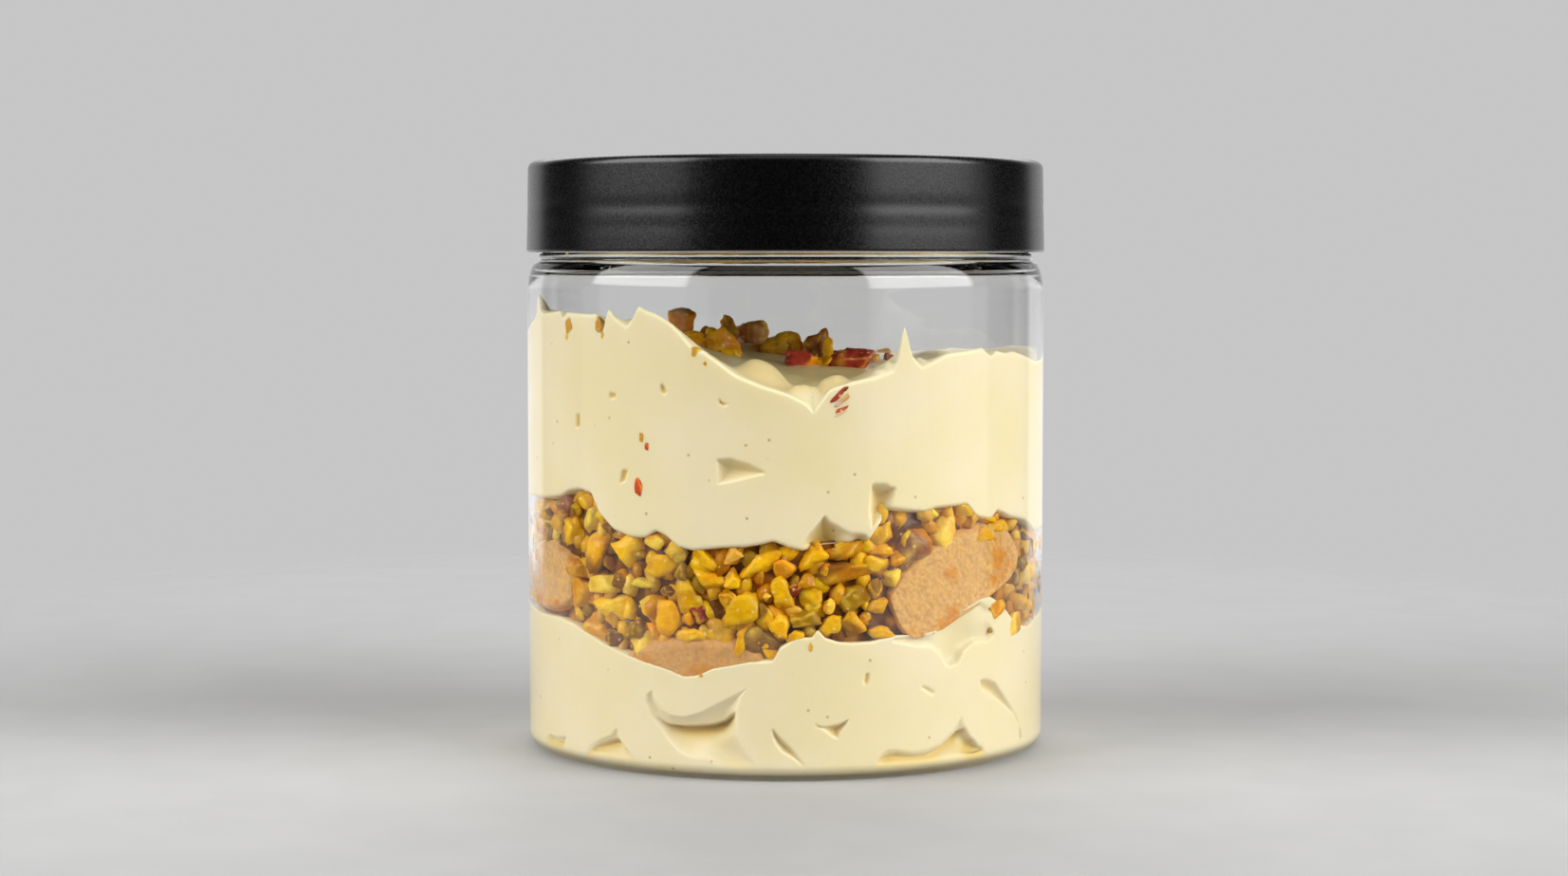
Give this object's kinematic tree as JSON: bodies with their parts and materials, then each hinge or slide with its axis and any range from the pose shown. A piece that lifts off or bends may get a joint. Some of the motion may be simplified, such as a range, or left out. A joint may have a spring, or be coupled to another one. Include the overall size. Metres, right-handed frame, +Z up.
{
  "type": "jar of tiramisu",
  "caption": "Clear straight-sided jar of layered pistachio tiramisu, with cream above and below chopped nuts and sponge fingers, shut by a black screw lid",
  "frame": {"origin": "centre of the jar's foot, on the surface it stands on", "axes": "+Z is up along the jar's axis, -Y faces the viewer of the shown side, +X is to that viewer's right"},
  "size_m": [0.0922, 0.0922, 0.1035],
  "materials": {
    "clear_plastic": "clear glossy moulded plastic",
    "black_plastic": "black satin moulded plastic",
    "cream": "moist pale yellow pistachio and mascarpone cream",
    "chopped_nuts": "moist chopped pistachios, yellow to olive with reddish skins",
    "sponge": "soaked porous sponge finger, pale tan"
  },
  "bodies": {
    "root": {"jar": "clear_plastic", "lid": "black_plastic", "cream_lower": "cream", "cream_upper": "cream", "nut_layer": "chopped_nuts", "ladyfinger_right": "sponge", "ladyfinger_front": "sponge", "ladyfinger_left": "sponge", "ladyfinger_back_right": "sponge", "ladyfinger_back": "sponge", "ladyfinger_back_left": "sponge", "topping_nut_1": "chopped_nuts", "topping_nut_2": "chopped_nuts", "topping_nut_3": "chopped_nuts", "topping_nut_4": "chopped_nuts", "topping_nut_5": "chopped_nuts", "topping_nut_6": "chopped_nuts", "topping_nut_7": "chopped_nuts", "topping_nut_8": "chopped_nuts", "topping_nut_9": "chopped_nuts", "topping_nut_10": "chopped_nuts", "topping_nut_11": "chopped_nuts", "topping_nut_12": "chopped_nuts", "topping_nut_13": "chopped_nuts", "topping_nut_14": "chopped_nuts"}
  },
  "joints": []
}
